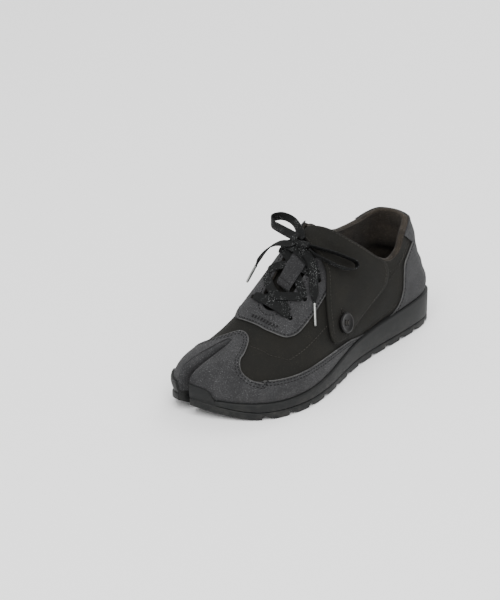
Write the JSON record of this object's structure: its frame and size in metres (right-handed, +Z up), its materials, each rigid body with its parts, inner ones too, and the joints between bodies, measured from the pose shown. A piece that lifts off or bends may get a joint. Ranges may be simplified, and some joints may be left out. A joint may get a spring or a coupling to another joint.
{
  "type": "split-toe sneaker",
  "caption": "Left split-toe sneaker in dark nubuck and suede, with a laced throat, a buttoned flap across the instep and a lugged rubber sole.",
  "frame": {"origin": "on the floor, under the middle of the shoe's box without the bow", "axes": "+Z up, toes towards -Y, +X to the lateral (outer) side of this left shoe"},
  "size_m": [0.1031, 0.2756, 0.1253],
  "materials": {
    "rubber": "matt moulded rubber, charcoal grey",
    "suede": "charcoal suede with a light speckle in its nap",
    "nubuck": "brown-black nubuck, soft and matt",
    "lining": "brushed lining, grey beige",
    "button": "polished dark plastic",
    "lace": "flat woven lace, near black, with glittering threads",
    "tip": "bright metal sleeve"
  },
  "bodies": {
    "root": {"outsole": "rubber", "midsole": "rubber", "insole": "lining", "upper": "nubuck", "toe_overlay": "suede", "eyestay": "suede", "heel_counter": "suede", "heel_tab": "suede", "tongue": "nubuck", "tongue_loop": "suede", "flap": "nubuck", "flap_button": "button", "lace_bars": "lace", "lace_knot": "lace", "lace_loop_lateral": "lace", "lace_loop_medial": "lace", "lace_end_front": "lace", "lace_end_medial": "lace", "lace_tip_front": "tip", "lace_tip_medial": "tip"}
  },
  "joints": []
}
